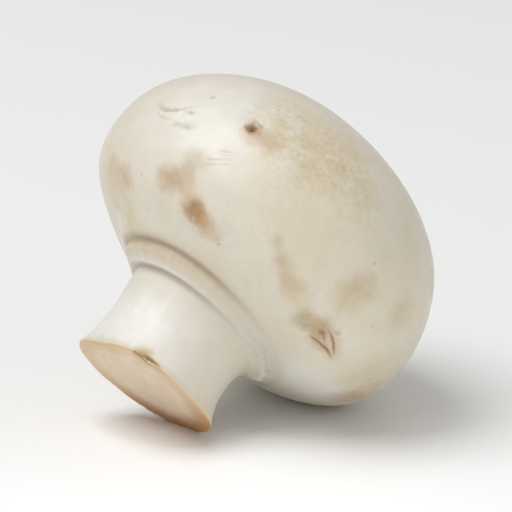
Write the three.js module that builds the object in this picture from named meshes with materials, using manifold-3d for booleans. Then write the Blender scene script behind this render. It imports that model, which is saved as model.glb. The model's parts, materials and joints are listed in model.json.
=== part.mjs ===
// A white button mushroom with its cap still closed and its stem cut, lying on its side.
// It rests on the rim of its cap and on the lower edge of its cut stem. Millimetres, +Z up.
// Cap, veil and stem grew as one body, so the model is one solid.

import * as THREE from 'three';
import { mergeVertices } from 'three/addons/utils/BufferGeometryUtils.js';
import Module from 'manifold-3d';

// ---- Driving dimensions: millimetres, and degrees round the cap's own axis ----

// The cap. Height 0 is its widest ring, and the apex is above it.
// A fullness of 2 gives an ellipse, and more gives squarer shoulders.
const CAP_RADIUS = 22.5;
const DOME_HEIGHT = 17.2;
const DOME_FULLNESS = 2.09;
const UNDERSIDE_DEPTH = 11.6;
const UNDERSIDE_FULLNESS = 2.55;

// Low swellings and hollows of the cap: where each sits, how far it spreads and how high it rises.
const SWELLINGS = [
  { angle: 145, height: 3, around: 35, along: 7, rise: 0.6 },
  { angle: 122, height: -10, around: 30, along: 3, rise: -1.0 },
  { angle: 70, height: 9, around: 32, along: 6, rise: -0.35 },
  { angle: 20, height: 4, around: 25, along: 7, rise: 0.2 },
  { angle: -60, height: 12, around: 32, along: 4, rise: 0.3 },
];

// The veil, a thin skin that closes the gap between the cap's rolled-in edge and the stem.
const MARGIN_RADIUS = 12.3;
const VEIL_BULGE = 0.2;
const NECK_RADIUS = 8.85;
const NECK_HEIGHT = -12.7;

// Folds gather the veil on one side, and a thin lip edges it above the stem.
const PLEATS = { count: 24, depth: 0.25, gather: 0.2, towards: -33, around: 20 };
const VEIL_LIP = { aboveNeck: 1.15, width: 0.3, rise: 0.16 };

// On one side the cap's edge sags towards the stem, and the veil there is narrower.
const MARGIN_SAG = { depth: 1.2, towards: 145, around: 55, reach: 2.2 };

// A groove on each side of the veil: depth, half width, and the share that stays where it has healed.
// The lower groove runs a little way up the veil from the neck.
const MARGIN_GROOVE = { depth: 0.5, width: 0.4, healed: 0.05 };
const NECK_GROOVE = { depth: 0.5, width: 0.33, healed: 0.05, upVeil: 0.13 };

// Where the veil has healed, the corners beside it are filled to a smooth slope.
const HEALED = { towards: -55, around: 42 };
const NECK_FILL = { depth: 1.2, width: 1.8 };
const MARGIN_FILL = { depth: 0.33, width: 2.0 };

// The stem: a neck under the veil, a waist, and a foot that flares to the cut and is pressed flat on
// two sides.
const STEM_END_HEIGHT = -22.5;
const WAIST_DEPTH = 0.6;
const WAIST_CENTRING = 0.8;
const FOOT_FLARE = 0.85;
const FOOT_POWER = 6;
const FOOT_FLATS = [
  { towards: 168, around: 33, depth: 2.15 },
  { towards: -89, around: 29, depth: 1.0 },
];
const STEM_RIPPLES = { count: 5, depth: 0.1 };

// The stem leaves the cap's axis on a short arc and then runs straight.
const BEND_START_HEIGHT = -11.0;
const BEND_LENGTH = 3.0;
const STEM_LEAN = { degrees: 8, towards: -37.5 };

// The cut is slanted and a little hollow, with a softened rim and one nick where the knife tore.
const CUT_SLANT = { degrees: 1.5, towards: -150 };
const RIM_BEVEL = 0.25;
const CUT_HOLLOW = 0.25;
const NICK = { towards: -137, around: 6, along: 1.1, depth: 0.55 };

// How far the flesh is pressed flat where the cap and the stem's edge touch the ground.
const GROUND_FLAT_DEPTH = 0.25;

// How finely the surface is divided. Crowding draws the underside's rows towards the veil.
const AROUND = 90;
const DOME_ROWS = 13;
const UNDERSIDE_ROWS = 12;
const UNDERSIDE_CROWDING = 1.8;
const VEIL_ROWS = 12;
const STEM_ROWS = 9;
const CUT_ROWS = 3;

// A block below the ground that the flesh is trimmed against.
const GROUND_WIDTH = 200;
const GROUND_THICKNESS = 20;

// ---- Outline of half the mushroom, from the middle of the cut up to the apex ----

const { clamp, degToRad, euclideanModulo, lerp, radToDeg } = THREE.MathUtils;

// A quarter of a superellipse: turn runs from 0 on the axis to a right angle at the widest ring.
function quarter(turn, height, fullness) {
  const power = 2 / fullness;
  const radius = CAP_RADIUS * Math.sin(turn) ** power;
  return new THREE.Vector2(radius, height * Math.max(Math.cos(turn), 0) ** power);
}

function domeOutline() {
  const points = [];
  for (let row = 0; row <= DOME_ROWS; row += 1) {
    points.push(quarter((Math.PI / 2) * (row / DOME_ROWS), DOME_HEIGHT, DOME_FULLNESS));
  }
  return points;
}

function undersideOutline() {
  const lastTurn = Math.asin((MARGIN_RADIUS / CAP_RADIUS) ** (UNDERSIDE_FULLNESS / 2));
  const points = [];
  for (let row = 1; row <= UNDERSIDE_ROWS; row += 1) {
    const share = 1 - (1 - row / UNDERSIDE_ROWS) ** UNDERSIDE_CROWDING;
    const turn = lerp(Math.PI / 2, lastTurn, share);
    points.push(quarter(turn, -UNDERSIDE_DEPTH, UNDERSIDE_FULLNESS));
  }
  return points;
}

function veilOutline() {
  const outward = new THREE.Vector2(margin.y - neck.y, neck.x - margin.x).normalize();
  const points = [];
  for (let row = 1; row <= VEIL_ROWS; row += 1) {
    const along = row / VEIL_ROWS;
    const bulge = VEIL_BULGE * Math.sin(Math.PI * along);
    points.push(margin.clone().lerp(neck, along).addScaledVector(outward, bulge));
  }
  return points;
}

function stemRadius(along) {
  const waist = WAIST_DEPTH * Math.sin(Math.PI * along ** WAIST_CENTRING);
  return NECK_RADIUS - waist + FOOT_FLARE * along ** FOOT_POWER;
}

function stemOutline() {
  const points = [];
  for (let row = 1; row <= STEM_ROWS; row += 1) {
    const along = row / STEM_ROWS;
    const height = lerp(NECK_HEIGHT, STEM_END_HEIGHT + RIM_BEVEL, along);
    points.push(new THREE.Vector2(stemRadius(along), height));
  }
  return points;
}

function cutOutline() {
  const rim = stemRadius(1) - RIM_BEVEL;
  const points = [];
  for (let row = 0; row <= CUT_ROWS; row += 1) {
    const inward = row / CUT_ROWS;
    points.push(new THREE.Vector2(rim * (1 - inward), STEM_END_HEIGHT + CUT_HOLLOW * inward));
  }
  return points;
}

const capOutline = [...domeOutline(), ...undersideOutline()];
const margin = capOutline[capOutline.length - 1];
const neck = new THREE.Vector2(NECK_RADIUS, NECK_HEIGHT);
const neckGroove = neck.clone().lerp(margin, NECK_GROOVE.upVeil);
const outline = [...capOutline, ...veilOutline(), ...stemOutline(), ...cutOutline()].reverse();

// ---- Swellings, grooves, folds and the stem's own shape ----

function bell(distance, width) {
  return Math.exp(-((distance / width) ** 2));
}

// As high as a bell, with a pointed top that fills a sharp corner.
function tent(distance, width) {
  return Math.exp(-distance / width);
}

// How near an angle is to a feature's direction, from 0 to 1, round the axis.
function facing(angle, feature) {
  const apart = euclideanModulo(angle - feature.towards + 180, 360) - 180;
  return bell(apart, feature.around);
}

// How far down the stem a height is, from 0 at the neck to 1 at the cut.
function downStem(height) {
  return clamp((NECK_HEIGHT - height) / (NECK_HEIGHT - STEM_END_HEIGHT), 0, 1);
}

function swelling(height, angle) {
  return SWELLINGS.reduce((sum, lump) => {
    const near = facing(angle, { towards: lump.angle, around: lump.around });
    return sum + lump.rise * near * bell(height - lump.height, lump.along);
  }, 0);
}

// How far the veil has healed, from 0 to 1: even over most of the healed side.
function healing(angle) {
  return 1 - (1 - facing(angle, HEALED)) ** 3;
}

function apartFrom(place, radius, height) {
  return Math.hypot(radius - place.x, height - place.y);
}

// How deep the two grooves are at a place on the surface, less the flesh that fills the healed side.
function grooves(radius, height, angle) {
  const heal = healing(angle);
  const fromMargin = apartFrom(margin, radius, height);
  const fromGroove = apartFrom(neckGroove, radius, height);
  const marginDepth = MARGIN_GROOVE.depth * lerp(1, MARGIN_GROOVE.healed, heal);
  const neckDepth = NECK_GROOVE.depth * lerp(1, NECK_GROOVE.healed, heal);
  const neckFill = NECK_FILL.depth * tent(apartFrom(neck, radius, height), NECK_FILL.width);
  const marginFill = MARGIN_FILL.depth * tent(fromMargin, MARGIN_FILL.width);
  return bell(fromMargin, MARGIN_GROOVE.width) * marginDepth
    + bell(fromGroove, NECK_GROOVE.width) * neckDepth
    - heal * (neckFill + marginFill);
}

// How far the cap's edge sags at a place on the surface.
function sag(radius, height, angle) {
  const near = bell(apartFrom(margin, radius, height), MARGIN_SAG.reach);
  return MARGIN_SAG.depth * facing(angle, MARGIN_SAG) * near;
}

// How high the veil's folds and lip stand above its smooth slope, which is flat where it has healed.
function veilRelief(radius, height, angle) {
  if (height < NECK_HEIGHT || height > margin.y) {
    return 0;
  }
  const across = clamp((radius - NECK_RADIUS) / (margin.x - NECK_RADIUS), 0, 1);
  const folds = PLEATS.gather + PLEATS.depth * Math.sin(degToRad(PLEATS.count * angle));
  const heal = healing(angle);
  const fromLip = apartFrom(neck, radius, height) - VEIL_LIP.aboveNeck;
  const lip = VEIL_LIP.rise * (1 - heal) * bell(fromLip, VEIL_LIP.width);
  return (folds * facing(angle, PLEATS) - heal * VEIL_BULGE) * Math.sin(Math.PI * across) + lip;
}

// How far the stem's side stands out or in from its round outline.
function stemRelief(height, angle) {
  const along = downStem(height);
  const flats = FOOT_FLATS.reduce((sum, flat) => sum + flat.depth * facing(angle, flat), 0);
  const ripple = Math.sin(Math.PI * along) * Math.sin(degToRad(STEM_RIPPLES.count * angle));
  const nick = facing(angle, NICK) * bell(height - STEM_END_HEIGHT, NICK.along);
  return STEM_RIPPLES.depth * ripple - flats * along ** FOOT_POWER - NICK.depth * nick;
}

// How far the slanted cut draws the foot down on one side.
function slant(point) {
  const towards = degToRad(CUT_SLANT.towards);
  const aside = point.x * Math.cos(towards) + point.y * Math.sin(towards);
  return aside * Math.tan(degToRad(CUT_SLANT.degrees)) * downStem(point.z) ** 2;
}

function carve(point) {
  const angle = radToDeg(Math.atan2(point.y, point.x));
  const radius = Math.hypot(point.x, point.y);
  const inward = (grooves(radius, point.z, angle) - veilRelief(radius, point.z, angle)) * Math.SQRT1_2;
  const stem = stemRelief(point.z, angle) * Math.min(radius / NECK_RADIUS, 1);
  const spread = radius > 0 ? (radius - inward + stem) / radius : 1;
  const outward = point.clone().normalize();
  const height = point.z + inward - slant(point) - sag(radius, point.z, angle);
  const rise = swelling(point.z, angle);
  point.set(point.x * spread, point.y * spread, height).addScaledVector(outward, rise);
}

// Below its start the stem turns on an arc, and each of its sections turns with it.
function bend(point) {
  const down = BEND_START_HEIGHT - point.z;
  if (down <= 0) {
    return;
  }
  const fullLean = degToRad(STEM_LEAN.degrees);
  const arcRadius = BEND_LENGTH / fullLean;
  const lean = fullLean * Math.min(down / BEND_LENGTH, 1);
  const straight = Math.max(down - BEND_LENGTH, 0);
  const aside = arcRadius * (1 - Math.cos(lean)) + straight * Math.sin(lean);
  const drop = arcRadius * Math.sin(lean) + straight * Math.cos(lean);
  const east = Math.cos(degToRad(STEM_LEAN.towards));
  const north = Math.sin(degToRad(STEM_LEAN.towards));
  point.setZ(0).applyAxisAngle(new THREE.Vector3(north, -east, 0), lean);
  point.add(new THREE.Vector3(aside * east, aside * north, BEND_START_HEIGHT - drop));
}

function mushroomSurface() {
  const geometry = new THREE.LatheGeometry(outline, AROUND).rotateX(Math.PI / 2);
  const position = geometry.getAttribute('position');
  const point = new THREE.Vector3();
  for (let index = 0; index < position.count; index += 1) {
    point.fromBufferAttribute(position, index);
    carve(point);
    bend(point);
    position.setXYZ(index, point.x, point.y, point.z);
  }
  return geometry;
}

// ---- Resting on the ground ----

// The lowest point of the stem, or of the rest, when the cap's axis stands at a tilt.
function lowest(geometry, tilt, ofStem) {
  const position = geometry.getAttribute('position');
  const up = new THREE.Vector3(-Math.cos(degToRad(tilt)), 0, Math.sin(degToRad(tilt)));
  const point = new THREE.Vector3();
  let low = Infinity;
  for (let index = 0; index < position.count; index += 1) {
    point.fromBufferAttribute(position, index);
    if ((point.z < NECK_HEIGHT) === ofStem) {
      low = Math.min(low, point.dot(up));
    }
  }
  return low;
}

// The tilt at which the cap and the stem touch the ground together, found by halving.
function restingTilt(geometry) {
  let low = 10;
  let high = 80;
  while (high - low > 1e-6) {
    const tilt = (low + high) / 2;
    if (lowest(geometry, tilt, true) < lowest(geometry, tilt, false)) {
      high = tilt;
    } else {
      low = tilt;
    }
  }
  return low;
}

function layDown(geometry) {
  geometry.rotateY(degToRad(90 - restingTilt(geometry)));
  geometry.computeBoundingBox();
  return geometry.translate(0, 0, -geometry.boundingBox.min.z - GROUND_FLAT_DEPTH);
}

// ---- Solids ----

const wasm = await Module();
wasm.setup();

function toSolid(geometry) {
  const bare = geometry.clone();
  bare.deleteAttribute('normal');
  bare.deleteAttribute('uv');
  const merged = mergeVertices(bare, 1e-4);
  const index = merged.index.array;
  const triangles = [];
  for (let start = 0; start < index.length; start += 3) {
    const [a, b, c] = index.slice(start, start + 3);
    if (a !== b && b !== c && c !== a) {
      triangles.push(a, b, c);
    }
  }
  return new wasm.Manifold(new wasm.Mesh({
    numProp: 3,
    vertProperties: new Float32Array(merged.getAttribute('position').array),
    triVerts: new Uint32Array(triangles),
  }));
}

function toGeometry(solid) {
  const mesh = solid.getMesh();
  const geometry = new THREE.BufferGeometry();
  geometry.setAttribute('position', new THREE.BufferAttribute(mesh.vertProperties, 3));
  geometry.setIndex(new THREE.BufferAttribute(mesh.triVerts, 1));
  geometry.computeVertexNormals();
  return geometry;
}

function pressFlat(geometry) {
  const ground = new THREE.BoxGeometry(GROUND_WIDTH, GROUND_WIDTH, GROUND_THICKNESS);
  ground.translate(0, 0, -GROUND_THICKNESS / 2);
  return toGeometry(toSolid(geometry).subtract(toSolid(ground)));
}

// The origin is the middle of the mushroom's footprint, on the ground.
function centre(geometry) {
  geometry.computeBoundingBox();
  const middle = geometry.boundingBox.getCenter(new THREE.Vector3());
  return geometry.translate(-middle.x, -middle.y, 0);
}

// ---- The mushroom ----

const flesh = new THREE.MeshStandardMaterial({ color: 0xe9e1d2, roughness: 0.62, metalness: 0 });
const mushroom = new THREE.Mesh(centre(pressFlat(layDown(mushroomSurface()))), flesh);
mushroom.name = 'mushroom';

const part = new THREE.Group();
part.add(mushroom);

export default part;
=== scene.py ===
# %% [markdown]
# # A button mushroom, cut and lying on its side
# This lesson dresses a plain solid of one closed white mushroom. The solid is loaded first and never
# moves: it gives the size and the place of everything. What you model here is the fine body that is
# seen instead, with its skin, its veil, its bruises and its cut. All lengths in Blender are metres,
# and a mushroom is small, so the dimensions below are written in millimetres and multiplied by MM.

# %% Load the frame
import json
import math

import bpy
import numpy as np
from mathutils import Matrix, Vector, noise

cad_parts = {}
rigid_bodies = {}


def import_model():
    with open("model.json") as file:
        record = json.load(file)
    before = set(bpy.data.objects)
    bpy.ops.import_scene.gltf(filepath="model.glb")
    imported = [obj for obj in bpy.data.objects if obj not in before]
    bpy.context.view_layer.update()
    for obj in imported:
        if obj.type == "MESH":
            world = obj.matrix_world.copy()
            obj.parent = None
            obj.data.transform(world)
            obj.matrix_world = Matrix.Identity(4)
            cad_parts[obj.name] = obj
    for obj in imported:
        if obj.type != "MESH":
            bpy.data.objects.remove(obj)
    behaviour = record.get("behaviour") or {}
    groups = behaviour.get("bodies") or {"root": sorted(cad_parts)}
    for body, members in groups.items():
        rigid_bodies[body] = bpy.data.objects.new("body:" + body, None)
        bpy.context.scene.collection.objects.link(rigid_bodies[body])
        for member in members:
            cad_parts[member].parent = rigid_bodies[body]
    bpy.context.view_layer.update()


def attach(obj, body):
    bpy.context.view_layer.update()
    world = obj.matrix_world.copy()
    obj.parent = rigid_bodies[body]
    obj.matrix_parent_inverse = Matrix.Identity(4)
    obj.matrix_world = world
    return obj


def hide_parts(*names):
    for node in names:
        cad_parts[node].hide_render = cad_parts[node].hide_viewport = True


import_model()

MM = 0.001

# %% [markdown]
# ## Camera, floor and light
# A small thing looks small when it is seen from near by with a short lens, and calm and true when it
# is seen from further away with a long one. So the camera stands 60 cm off, and its lens is worked
# out from how wide a strip the view should span. The floor is a plain pale table. One large soft
# light hangs above on the left, a plain sky fills the shadows as in a white studio, two weak lights
# stand for what the walls and the table throw back, and a narrow one keeps the table behind bright.

# %% Camera
VIEW_AZIMUTH = math.radians(-36.7)
VIEW_ELEVATION = math.radians(17.3)
VIEW_DISTANCE = 0.6
VIEW_WIDTH = 62.05 * MM
VIEW_CENTRE_RIGHT = 1.11 * MM
VIEW_CENTRE_UP = 18.57 * MM
SENSOR_WIDTH = 36.0
CLIP_START = 10 * MM

view_turn = (math.pi / 2 - VIEW_ELEVATION, 0, VIEW_AZIMUTH)
view_axes = Matrix.Rotation(VIEW_AZIMUTH, 3, "Z") @ Matrix.Rotation(view_turn[0], 3, "X")
view_right, view_up, view_back = view_axes.col
view_target = view_right * VIEW_CENTRE_RIGHT + view_up * VIEW_CENTRE_UP
bpy.ops.object.camera_add(location=view_target + view_back * VIEW_DISTANCE, rotation=view_turn)
camera = bpy.context.object
camera.name = "camera"
camera.data.sensor_width = SENSOR_WIDTH
camera.data.lens = SENSOR_WIDTH * VIEW_DISTANCE / VIEW_WIDTH
camera.data.clip_start = CLIP_START
bpy.context.scene.camera = camera
print("lens, in mm:", round(camera.data.lens, 1))

# %% Floor
FLOOR_SIZE = 3.0
FLOOR_COLOUR = (0.925, 0.93, 0.935, 1)
FLOOR_ROUGHNESS = 0.6


def new_material(name):
    """An empty material with its own nodes, and its Principled shader."""
    material = bpy.data.materials.new(name)
    material.use_nodes = True
    return material, material.node_tree.nodes["Principled BSDF"]


bpy.ops.mesh.primitive_plane_add(size=FLOOR_SIZE, location=(0, 0, 0))
floor = bpy.context.object
floor.name = "floor"
table_white, shader = new_material("table_white")
shader.inputs["Base Color"].default_value = FLOOR_COLOUR
shader.inputs["Roughness"].default_value = FLOOR_ROUGHNESS
floor.data.materials.append(table_white)
print("floor, in metres:", FLOOR_SIZE)

# %% Lights and sky
# Each soft light stands in a direction from the mushroom, given as its shares to the right, back and
# up, as the camera sees them. The last number is its power in watts.
SOFT_LIGHTS = {
    "key_light": ((-0.42, 0.16, 1.0), 4.95),
    "fill_light": ((1.0, 0.8, 0.5), 0.7),
    "bounce_light": ((0.35, 1.0, 0.05), 0.5),
}
SOFT_LIGHT_DISTANCE = 0.9
SOFT_LIGHT_SIZE = 0.55
TABLE_LIGHT = {"stands": (0, 0.3, 0.6), "aims": (0, 0.09, 0), "power": 9.0, "spread": 12, "size": 0.04}
SKY_COLOUR = (1.0, 0.99, 0.975, 1)
SKY_STRENGTH = 0.44

level_back = Vector((view_back.x, view_back.y, 0)).normalized()


def seen_from_camera(right, back, up):
    """A vector to the right and back, both level, and straight up."""
    return right * view_right + back * level_back + Vector((0, 0, up))


def add_light(kind, name, place, aim, power):
    """A light at a place, turned to shine at the aim."""
    turn = (place - aim).to_track_quat("Z", "Y").to_euler()
    bpy.ops.object.light_add(type=kind, location=place, rotation=turn)
    light = bpy.context.object
    light.name = name
    light.data.energy = power
    return light.data


for name, (direction, power) in SOFT_LIGHTS.items():
    place = seen_from_camera(*direction).normalized() * SOFT_LIGHT_DISTANCE
    lamp = add_light("AREA", name, place, Vector(), power)
    lamp.size = SOFT_LIGHT_SIZE
place, aim = seen_from_camera(*TABLE_LIGHT["stands"]), seen_from_camera(*TABLE_LIGHT["aims"])
lamp = add_light("SPOT", "table_light", place, aim, TABLE_LIGHT["power"])
lamp.spot_size = math.radians(TABLE_LIGHT["spread"])
lamp.spot_blend = 1.0
lamp.shadow_soft_size = TABLE_LIGHT["size"]

sky = bpy.data.worlds.new("sky")
sky.use_nodes = True
sky_shader = sky.node_tree.nodes["Background"]
sky_shader.inputs["Color"].default_value = SKY_COLOUR
sky_shader.inputs["Strength"].default_value = SKY_STRENGTH
bpy.context.scene.world = sky
bpy.context.scene.view_settings.view_transform = "Standard"

# %% [markdown]
# ## The outline of half a mushroom
# A mushroom grows round an axis, so the quickest true start is half of its outline, spun round that
# axis. The outline is drawn upright, as the mushroom grew, with height 0 at the widest ring of the
# cap. The dome and the underside are quarters of a superellipse, which is an ellipse with a number
# that squares its shoulders. The veil is nearly straight, the stem has a waist, and the cut is flat.
# A single vertex is extruded from point to point, with short steps where the finest forms will be.

# %% Sizes of the outline
CAP_RADIUS = 22.5
DOME_HEIGHT = 17.2
DOME_FULLNESS = 2.09
UNDERSIDE_DEPTH = 11.6
UNDERSIDE_FULLNESS = 2.55
MARGIN_RADIUS = 12.3
VEIL_BULGE = 0.2
NECK_RADIUS = 8.85
NECK_HEIGHT = -12.7
STEM_END_HEIGHT = -22.5
WAIST_DEPTH = 0.6
WAIST_CENTRING = 0.8
FOOT_FLARE = 0.85
FOOT_POWER = 6
RIM_BEVEL = 0.25
CUT_HOLLOW = 0.25

DOME_ROWS = 62
UNDERSIDE_ROWS = 46
UNDERSIDE_CROWDING = 1.6
VEIL_ROWS = 36
STEM_ROWS = 40
BEVEL_ROWS = 4
CUT_ROWS = 24
AROUND = 360

# %% Points of the outline


def quarter(turn, height, fullness):
    """A point of a quarter superellipse: turn runs from 0 on the axis to a right angle at the rim."""
    power = 2 / fullness
    return CAP_RADIUS * math.sin(turn) ** power, height * max(math.cos(turn), 0) ** power


def shares(rows):
    """Even steps above 0 and up to 1."""
    return [row / rows for row in range(1, rows + 1)]


def stem_radius(along):
    """The stem's radius at a share of the way from the neck to the cut."""
    waist = WAIST_DEPTH * math.sin(math.pi * along**WAIST_CENTRING)
    return NECK_RADIUS - waist + FOOT_FLARE * along**FOOT_POWER


def cap_outline():
    """From the apex over the dome and under the rolled edge to the margin."""
    points = [quarter(share * math.pi / 2, DOME_HEIGHT, DOME_FULLNESS) for share in [0, *shares(DOME_ROWS)]]
    last_turn = math.asin((MARGIN_RADIUS / CAP_RADIUS) ** (UNDERSIDE_FULLNESS / 2))
    for share in shares(UNDERSIDE_ROWS):
        crowded = 1 - (1 - share) ** UNDERSIDE_CROWDING
        turn = math.pi / 2 + (last_turn - math.pi / 2) * crowded
        points.append(quarter(turn, -UNDERSIDE_DEPTH, UNDERSIDE_FULLNESS))
    return points


def veil_outline(margin):
    """From the margin in to the neck, bulging a little."""
    neck = Vector((NECK_RADIUS, NECK_HEIGHT))
    start = Vector(margin)
    outward = Vector((start.y - neck.y, neck.x - start.x)).normalized()
    return [
        start.lerp(neck, share) + outward * VEIL_BULGE * math.sin(math.pi * share)
        for share in shares(VEIL_ROWS)
    ]


def stem_outline():
    """Down the stem, round the softened rim and in to the middle of the cut."""
    bevel_top = STEM_END_HEIGHT + RIM_BEVEL
    rim = stem_radius(1) - RIM_BEVEL
    side = [
        (stem_radius(share), NECK_HEIGHT + (bevel_top - NECK_HEIGHT) * share)
        for share in shares(STEM_ROWS)
    ]
    turns = [share * math.pi / 2 for share in shares(BEVEL_ROWS)]
    bevel = [(rim + RIM_BEVEL * math.cos(turn), bevel_top - RIM_BEVEL * math.sin(turn)) for turn in turns]
    cut = [(rim * (1 - share), STEM_END_HEIGHT + CUT_HOLLOW * share) for share in shares(CUT_ROWS)]
    return [*side, *bevel, *cut]


cap_points = cap_outline()
MARGIN_HEIGHT = cap_points[-1][1]
outline = [*cap_points, *veil_outline(cap_points[-1]), *stem_outline()]
print("outline points:", len(outline), "margin height, in mm:", round(MARGIN_HEIGHT, 2))

# %% Extrude the outline and spin it
WELD_DISTANCE = MM / 1000


def work_on(piece):
    """Selects one piece alone, so that the next operator acts on it only."""
    bpy.ops.object.select_all(action="DESELECT")
    piece.select_set(True)
    bpy.context.view_layer.objects.active = piece


def extrude_chain(points):
    """A new mesh: one vertex, extruded from point to point. Points are in metres."""
    bpy.ops.object.select_all(action="DESELECT")
    bpy.ops.mesh.primitive_plane_add(size=MM, location=(0, 0, 0))
    bpy.ops.object.mode_set(mode="EDIT")
    bpy.ops.mesh.merge(type="CENTER")
    bpy.ops.transform.translate(value=points[0])
    for before, after in zip(points, points[1:]):
        bpy.ops.mesh.extrude_vertices_move(TRANSFORM_OT_translate={"value": Vector(after) - Vector(before)})
    return bpy.context.object


def spin_round(piece, steps):
    """Spins the chain round the Z axis and closes the poles and the seam."""
    bpy.ops.mesh.select_all(action="SELECT")
    bpy.ops.mesh.spin(steps=steps, angle=math.tau, center=(0, 0, 0), axis=(0, 0, 1))
    bpy.ops.mesh.select_all(action="SELECT")
    bpy.ops.mesh.remove_doubles(threshold=WELD_DISTANCE)
    bpy.ops.mesh.normals_make_consistent(inside=False)
    bpy.ops.object.mode_set(mode="OBJECT")
    return piece


body = spin_round(extrude_chain([(radius * MM, 0, height * MM) for radius, height in outline]), AROUND)
body.name = "mushroom_body"
print("spun body: vertices", len(body.data.vertices), "faces", len(body.data.polygons))

# %% [markdown]
# ## More faces where the finest marks will be
# A tear in the skin is a few tenths of a millimetre wide, and the spun faces are wider than that. The
# whole body could be made of smaller faces, but it would be heavy for nothing. So only the faces round
# each fine mark are selected by their place, and subdivided. A place on the skin is given by its angle
# round the stem and its height from the widest ring of the cap.

# %% Places on the skin
# The outline without the cut, from the bottom up, so that a radius can be looked up by its height.
SKIN_ROWS = len(cap_points) + VEIL_ROWS + STEM_ROWS
SKIN_RADII, SKIN_HEIGHTS = np.array([tuple(place) for place in outline[:SKIN_ROWS][::-1]]).T


def towards_way(degrees):
    """How far across X and Y a step of 1 goes, in a direction round the stem."""
    return math.cos(math.radians(degrees)), math.sin(math.radians(degrees))


def off_axis(radius, towards, height):
    """The point at a radius from the stem's axis, at an angle in degrees and a height in mm."""
    way_x, way_y = towards_way(towards)
    return Vector((radius * way_x, radius * way_y, height))


def on_skin(towards, height):
    """The point of the spun body at an angle and a height."""
    return off_axis(np.interp(height, SKIN_HEIGHTS, SKIN_RADII), towards, height)


def read_vectors(piece, field):
    """A vector for every point of a piece: its "co", which is its place in metres, or its "normal"."""
    flat = np.empty(len(piece.data.vertices) * 3)
    piece.data.vertices.foreach_get(field, flat)
    return flat.reshape(-1, 3)


def write_points(piece, points):
    piece.data.vertices.foreach_set("co", (points * MM).ravel())
    piece.data.update()


# %% Subdivide round the fine marks
SPECK_PLACE = (-153.7, 3.3)
FINE_PLACES = {
    "speck": (on_skin(*SPECK_PLACE), 1.4),
    "tear": (on_skin(-80.5, -7.6), 3.4),
    "lifted_skin": (on_skin(178.0, 0.3), 3.2),
    "scratches": (on_skin(-153.5, -1.6), 2.2),
    "nick": (on_skin(-138.0, -22.2), 2.6),
}
FINE_CUTS = 2


def subdivide_near(piece, centre, reach, cuts):
    """Subdivides the faces whose middle lies within reach of a point. Lengths are in mm."""
    work_on(piece)
    mesh = piece.data
    middles = np.array([polygon.center for polygon in mesh.polygons]) / MM
    near = np.linalg.norm(middles - np.array(centre), axis=1) < reach
    bpy.ops.object.mode_set(mode="EDIT")
    bpy.ops.mesh.select_mode(type="FACE")
    bpy.ops.mesh.select_all(action="DESELECT")
    bpy.ops.object.mode_set(mode="OBJECT")
    mesh.polygons.foreach_set("select", near)
    bpy.ops.object.mode_set(mode="EDIT")
    bpy.ops.mesh.subdivide(number_cuts=cuts, smoothness=1.0)
    bpy.ops.object.mode_set(mode="OBJECT")
    return int(near.sum())


for name, (centre, reach) in FINE_PLACES.items():
    print(name, "faces subdivided:", subdivide_near(body, centre, reach, FINE_CUTS))

# %% [markdown]
# ## Sculpting by formula
# No mushroom is round. This one is swollen on one side and pressed in on others, its stem leans, and
# two furrows run round the veil, which have healed on one side. This could be sculpted with brushes.
# Here each form is a small formula instead, because a formula can be read, changed and run again. Most
# are bells: full in the middle and fading to nothing. They are added up for all points at once.

# %% Bells
TINY = 1e-6

points = read_vectors(body, "co") / MM
normals = read_vectors(body, "normal")
grown = points.copy()
across, height = np.hypot(grown[:, 0], grown[:, 1]), grown[:, 2]
angle = np.degrees(np.arctan2(grown[:, 1], grown[:, 0]))


def bell(distance, width):
    """1 where the distance is 0, and about a third where it is one width."""
    return np.exp(-((distance / width) ** 2))


def facing(towards, around):
    """A bell round the stem: 1 at the angle towards, in degrees, fading over the angle around."""
    return bell((angle - towards + 180) % 360 - 180, around)


def part_way(value, start, end):
    """0 before start, 1 after end, and smooth between them."""
    share = np.clip((value - start) / (end - start), 0, 1)
    return share * share * (3 - 2 * share)


def print_range(name, values):
    """Prints how low and how high the values go."""
    print(name, "in mm:", round(values.min(), 2), "to", round(values.max(), 2))


down_stem = np.clip((NECK_HEIGHT - height) / (NECK_HEIGHT - STEM_END_HEIGHT), 0, 1)
print("points to sculpt:", len(points))

# %% Swellings of the cap
# The angle that each faces and how far round it fades, its height and how far along, and its rise.
SWELLINGS = [
    (145, 35, 3, 7, 0.6),
    (122, 30, -10, 3, -1.0),
    (70, 32, 9, 6, -0.35),
    (20, 25, 4, 7, 0.2),
    (-60, 32, 12, 4, 0.3),
]
swelling = sum(
    rise * facing(towards, around) * bell(height - level, along)
    for towards, around, level, along, rise in SWELLINGS
)
print_range("swellings,", swelling)

# %% Furrows on both sides of the veil, and where it has healed
HEALED = {"towards": -55, "around": 42}
CLOSED = {"towards": -66, "around": 43}
MARGIN_FURROW = {"depth": 0.42, "width": 0.52, "healed": 0.12}
NECK_FURROW = {"depth": 0.38, "width": 0.38, "healed": 0.12, "up_veil": 0.13}
NECK_FILL = {"depth": 1.2, "width": 1.8}
MARGIN_FILL = {"depth": 0.33, "width": 2.0}
MARGIN_SAG = {"depth": 1.2, "towards": 145, "around": 55, "reach": 2.2}
FURROW_SHADE = {"depth": 0.6, "width": 1.2, "strength": 0.5}


def broadly_facing(stretch):
    """As facing, but with a broad top and steeper ends."""
    return 1 - (1 - facing(stretch["towards"], stretch["around"])) ** 3


healing = broadly_facing(HEALED)
closing = broadly_facing(CLOSED)


def apart_from(radius, level):
    """How far each point of the outline is from a ring round the stem."""
    return np.hypot(across - radius, height - level)


def tent(distance, width):
    """As high as a bell, with a pointed top that fills a sharp corner."""
    return np.exp(-distance / width)


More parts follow.
